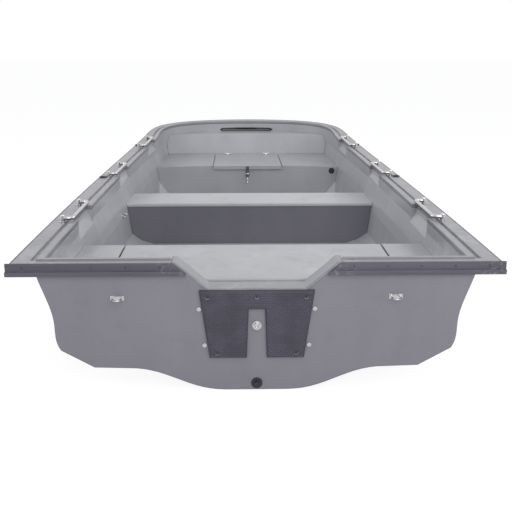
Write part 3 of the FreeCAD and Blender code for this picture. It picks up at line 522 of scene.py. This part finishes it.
class DINGHY_OT_rail_rivets(Maker, bpy.types.Operator):
    """Rivets along the rub rail and the stern rails"""

    bl_idname = "dinghy.rail_rivets"
    bl_label = "Rail rivets"

    def make(self, colours, sizes):
        metal = ribbed_plastic("rail_rivet", shade(colours.rail, 0.75), 0.15)
        places = rail_places(sizes.rivet_pitch)
        for side in (-1, 1):
            for number in range(5):
                x = side * (0.335 + number * 0.118)
                places.append((Vector((x, STERN_RAIL_Y, STERN_HEIGHT - 0.014)), Vector((0, -1, 0))))
        fasteners("rail_rivets", places, (0.0042, 0.0034), 0.0012, 12, metal)


PAD_SCREWS = [(-0.173, 0.362), (0, 0.363), (0.173, 0.362), (-0.140, 0.150), (0.140, 0.150)]


def pad_lattice(pitch):
    """Staggered places on the motor pad, clear of its edges, slot and screws."""
    places = []
    row_step = pitch * math.sqrt(3) / 2
    rows = int((0.385 - 0.131 - 0.016) / row_step)
    for row in range(rows + 1):
        z = 0.139 + row * row_step
        outer = 0.168 + 0.034 * (z - 0.131) / 0.254 - 0.009
        inner = 0.036 - 0.007 * (z - 0.131) / 0.186 + 0.008 if z < 0.326 else -1
        count = int(outer / pitch)
        for column in range(-count, count + 1):
            x = (column + 0.5 * (row % 2)) * pitch
            near_screw = any(math.hypot(x - sx, z - sz) < 0.0125 for sx, sz in PAD_SCREWS)
            if inner < abs(x) < outer and not near_screw:
                places.append((transom_point(x, z, PAD_THICKNESS - 0.0001), AFT))
    return places


class DINGHY_OT_pad_studs(Maker, bpy.types.Operator):
    """Round grip studs over the motor pad"""

    bl_idname = "dinghy.pad_studs"
    bl_label = "Pad studs"

    def make(self, colours, sizes):
        grip = ribbed_plastic("pad_stud_plastic", shade(colours.pad, 1.7), 0.6)
        fasteners("pad_studs", pad_lattice(sizes.stud_pitch), (0.0037, 0.0027), sizes.stud_height, 8,
                  grip)


class DINGHY_OT_screw_heads(Maker, bpy.types.Operator):
    """Raised heads on the pad's screws and on the hinge leaves"""

    bl_idname = "dinghy.screw_heads"
    bl_label = "Screw heads"

    def make(self, colours, sizes):
        steel = bpy.data.materials["bright_steel"]
        dark = ribbed_plastic("pad_screw_black", shade(colours.black, 1.6), 0.3)
        fasteners("pad_screw_heads", [(transom_point(x, z, 0.0137), AFT) for x, z in PAD_SCREWS],
                  (0.0068, 0.0035), 0.0018, 16, dark)
        leaf_screws, strap_screws = [], []
        for side in ("port", "starboard"):
            low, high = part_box("hatch_hinge_" + side)
            middle = (low[0] + high[0]) / 2
            top = low[2] + 0.0025
            leaf_screws += [(Vector((middle + end * 0.018, high[1] - 0.008, top)), UP)
                            for end in (-1, 1)]
            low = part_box("hatch_strap_" + side)[0]
            strap_screws += [(Vector((middle, low[1] + step, low[2] + 0.0025)), UP)
                             for step in (0.008, 0.022)]
        radii = (0.0034, 0.0024)
        fasteners("hinge_leaf_screws", leaf_screws, radii, 0.0012, 12, steel)
        fasteners("hinge_strap_screws", strap_screws, radii, 0.0012, 12, steel, "hatch")


class DINGHY_OT_handle_nuts(Maker, bpy.types.Operator):
    """Nuts on the grab handles' feet"""

    bl_idname = "dinghy.handle_nuts"
    bl_label = "Handle nuts"

    def make(self, colours, sizes):
        steel = bpy.data.materials["bright_steel"]
        places = []
        for side in ("port", "starboard"):
            for place in ("aft", "mid", "fore"):
                low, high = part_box("grab_handle_%s_%s" % (side, place))
                sign = 1 if side == "starboard" else -1
                x = (high[0] if sign > 0 else low[0]) - sign * 0.013
                slope = 0.010 if place == "fore" else 0.002
                for end, y in ((-1, low[1] + 0.013), (1, high[1] - 0.013)):
                    reach = 0.004 if place == "aft" else 0.008 if place == "mid" else 0.012
                    shift = 0 if end < 0 else -sign * reach
                    places.append((Vector((x + shift, y, high[2] - 0.0015 + (end - 1) * slope / 2)),
                                   UP))
        fasteners("handle_nuts", places, (0.0072, 0.0060), 0.004, 6, steel)


class DINGHY_OT_slot_painted_shade(Maker, bpy.types.Operator):
    """Near-black sheet lining the slot in the bow, painted shade for the slot's dark inside"""

    bl_idname = "dinghy.slot_insert"
    bl_label = "Slot painted shade"

    def make(self, colours, sizes):
        # Painted shade: this near-black sheet stands for the shadow inside the slot.
        painted_shade_black = ribbed_plastic("slot_painted_shade_black", shade(colours.black, 0.5), 0)
        middle, sleeve = 0.515, 0.0091
        back = STERN_RAIL_Y + HULL_LENGTH - BOW_WALL + 0.0255
        half, tip = 0.1932, 0.212
        proud = 0.0016
        stations = [-tip] + [half * n / 16 for n in range(-16, 17)] + [tip]
        rows = [[], [], [], []]
        for x in stations:
            swell = 0.0112 + 0.0036 * (1 - (x / half) ** 2) if abs(x) < tip else 0.0008
            lip = Vector((x, bow_wall(x) - proud, middle))
            inner = min(sleeve, swell - 0.0006)
            for row, height in zip(rows, (-swell, -inner, inner, swell)):
                row.append(lip + UP * height)
        points = sum(rows, [])
        count = len(stations)
        faces = [(row * count + n, row * count + n + 1, (row + 1) * count + n + 1,
                  (row + 1) * count + n)
                 for row in (0, 2) for n in range(count - 1)]
        ends = (0, count - 2)
        faces += [(count + n, count + n + 1, 2 * count + n + 1, 2 * count + n) for n in ends]
        first = len(points)
        inside = range(1, count - 1)
        for row in (1, 2):
            points += [Vector((stations[n], back, points[row * count + n].z)) for n in inside]
        depth = len(inside)
        for row, start in ((1, first), (2, first + depth)):
            for n in range(depth - 1):
                quad = (row * count + 1 + n, row * count + 2 + n, start + n + 1, start + n)
                faces.append(quad if row == 1 else tuple(reversed(quad)))
        faces += [(first + n, first + n + 1, first + depth + n + 1, first + depth + n)
                  for n in range(depth - 1)]
        faces.append((count + 1, first, first + depth, 2 * count + 1))
        faces.append((2 * count + count - 2, first + 2 * depth - 1, first + depth - 1,
                      count + count - 2))
        mesh = bpy.data.meshes.new("slot_insert")
        mesh.from_pydata(points, [], faces)
        piece("slot_insert", mesh, "boat", painted_shade_black)


class DINGHY_OT_bow_seam(Maker, bpy.types.Operator):
    """Sealed joint across the middle of the bow's gunwale"""

    bl_idname = "dinghy.bow_seam"
    bl_label = "Bow seam"

    def make(self, colours, sizes):
        sealant = ribbed_plastic("seam_sealant", shade(colours.rail, 0.9), 0.2)
        stations = [0.9848 + 0.0009 * n for n in range(15)]
        rows = [[Vector((x, STERN_RAIL_Y + t * HULL_LENGTH, sheer(t) + 0.0004)) for t in stations]
                for x in (-0.0016, 0.0016)]
        piece("bow_seam", strip_mesh("bow_seam", *rows), "boat", sealant)


class DINGHY_OT_hasp_pin(Maker, bpy.types.Operator):
    """Turned pin that hangs from the hatch's hasp"""

    bl_idname = "dinghy.hasp_pin"
    bl_label = "Hasp pin"

    def make(self, colours, sizes):
        steel = bpy.data.materials["bright_steel"]
        low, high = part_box("hatch_hasp")
        top = Vector((0, high[1] - 0.006, low[2] + 0.002))
        profile = [(0, 0.0025), (0.004, 0.003), (0.012, 0.003), (0.014, 0.006), (0.018, 0.0065),
                   (0.022, 0.004),
                   (0.034, 0.003), (0.036, 0.006), (0.042, 0.0065), (0.046, 0.003)]
        piece("hasp_pin", turned_mesh("hasp_pin", profile, top, -UP), "hatch", steel)


class DINGHY_OT_stage(bpy.types.Operator):
    """Pale floor, soft lamps, white surroundings and the camera"""

    bl_idname = "dinghy.stage"
    bl_label = "Studio"

    def execute(self, context):
        studio = context.scene.dinghy_studio
        context.scene.view_settings.view_transform = "Standard"
        self.floor()
        self.world(context.scene, studio.sky)
        self.lamp("key_lamp", studio.key_power, 3.5, (1.1, -5.6, 2.9), (0, -0.6, 0.2))
        self.lamp("top_lamp", studio.top_power, 4.0, (0.6, 0.8, 4.6), (0, 0.4, 0))
        for name, x in (("port_lamp", -4.2), ("starboard_lamp", 4.2)):
            self.lamp(name, studio.side_power, 3.0, (x, -0.3, 2.0), (0, 0, 0.3))
        camera = bpy.data.cameras.new("camera")
        camera.lens = studio.lens
        camera.sensor_width = 36
        viewer = bpy.data.objects.new("camera", camera)
        viewer.location = (-0.061, -4.671, 1.241)
        viewer.rotation_euler = (math.radians(74.85), 0, math.radians(-1.218))
        context.scene.collection.objects.link(viewer)
        context.scene.camera = viewer
        return {"FINISHED"}

    def lamp(self, name, power, size, place, target):
        data = bpy.data.lights.new(name, "AREA")
        data.energy = power
        data.size = size
        item = bpy.data.objects.new(name, data)
        item.visible_camera = False
        item.location = place
        item.rotation_euler = (Vector(target) - Vector(place)).to_track_quat("-Z", "Y").to_euler()
        bpy.context.scene.collection.objects.link(item)

    def seen(self, paint):
        """1 for what the camera sees straight, by reflection or through glass."""
        kinds = [paint.node("ShaderNodeLightPath", out=name)
                 for name in ("Is Camera Ray", "Is Glossy Ray", "Is Transmission Ray")]
        return (kinds[0] + kinds[1] + kinds[2]) > 0.5

    def floor(self):
        paint = Paint("floor_white")
        dull = paint.node("ShaderNodeBsdfDiffuse", None, {"Color": (0.84, 0.84, 0.84, 1)})
        glow = paint.node("ShaderNodeEmission", None, {"Color": (1, 1, 1, 1), "Strength": 1.13})
        mixed = paint.node("ShaderNodeMixShader", None, {0: self.seen(paint) * 0.8, 1: dull, 2: glow})
        out = paint.tree.nodes.new("ShaderNodeOutputMaterial")
        paint.tree.links.new(mixed.socket, out.inputs["Surface"])
        reach = 40
        mesh = bpy.data.meshes.new("floor")
        mesh.from_pydata([(-reach, -reach, 0), (reach, -reach, 0), (reach, reach, 0),
                          (-reach, reach, 0)], [],
                         [(0, 1, 2, 3)])
        mesh.materials.append(paint.material)
        floor = bpy.data.objects.new("floor", mesh)
        bpy.context.scene.collection.objects.link(floor)

    def world(self, scene, strength):
        world = bpy.data.worlds.new("studio")
        world.use_nodes = True
        scene.world = world
        tree = world.node_tree
        tree.nodes.clear()
        out = tree.nodes.new("ShaderNodeOutputWorld")
        light = tree.nodes.new("ShaderNodeBackground")
        light.inputs["Color"].default_value = (0.93, 0.95, 1, 1)
        light.inputs["Strength"].default_value = strength
        white = tree.nodes.new("ShaderNodeBackground")
        choice = tree.nodes.new("ShaderNodeMixShader")
        path = tree.nodes.new("ShaderNodeLightPath")
        seen = path.outputs["Is Camera Ray"]
        for ray in ("Is Glossy Ray", "Is Transmission Ray"):
            larger = tree.nodes.new("ShaderNodeMath")
            larger.operation = "MAXIMUM"
            tree.links.new(seen, larger.inputs[0])
            tree.links.new(path.outputs[ray], larger.inputs[1])
            seen = larger.outputs[0]
        tree.links.new(seen, choice.inputs[0])
        tree.links.new(light.outputs[0], choice.inputs[1])
        tree.links.new(white.outputs[0], choice.inputs[2])
        white.inputs["Color"].default_value = (1, 1, 1, 1)
        tree.links.new(choice.outputs[0], out.inputs["Surface"])


STEPS = (DINGHY_OT_mouldings, DINGHY_OT_fittings, DINGHY_OT_rail_rivets, DINGHY_OT_pad_studs,
         DINGHY_OT_screw_heads, DINGHY_OT_handle_nuts, DINGHY_OT_slot_painted_shade, DINGHY_OT_bow_seam,
         DINGHY_OT_hasp_pin, DINGHY_OT_stage)


class DINGHY_PT_panel(bpy.types.Panel):
    """The boat's makers and settings"""

    bl_label = "Dinghy"
    bl_space_type = "VIEW_3D"
    bl_region_type = "UI"
    bl_category = "Dinghy"

    def draw(self, context):
        scene = context.scene
        for group in (scene.dinghy_finishes, scene.dinghy_sizes, scene.dinghy_studio):
            for key in group.__annotations__:
                self.layout.prop(group, key)
        for step in STEPS:
            self.layout.operator(step.bl_idname)


GROUPS = {"dinghy_finishes": DinghyFinishes, "dinghy_sizes": DinghySizes, "dinghy_studio": DinghyStudio}
CLASSES = tuple(GROUPS.values()) + STEPS + (DINGHY_PT_panel,)


def register():
    for item in CLASSES:
        bpy.utils.register_class(item)
    for key, group in GROUPS.items():
        setattr(bpy.types.Scene, key, PointerProperty(type=group))


def unregister():
    for key in GROUPS:
        delattr(bpy.types.Scene, key)
    for item in reversed(CLASSES):
        bpy.utils.unregister_class(item)


def main():
    register()
    for step in STEPS:
        getattr(bpy.ops.dinghy, step.bl_idname.split(".")[1])()


if __name__ == "__main__":
    main()
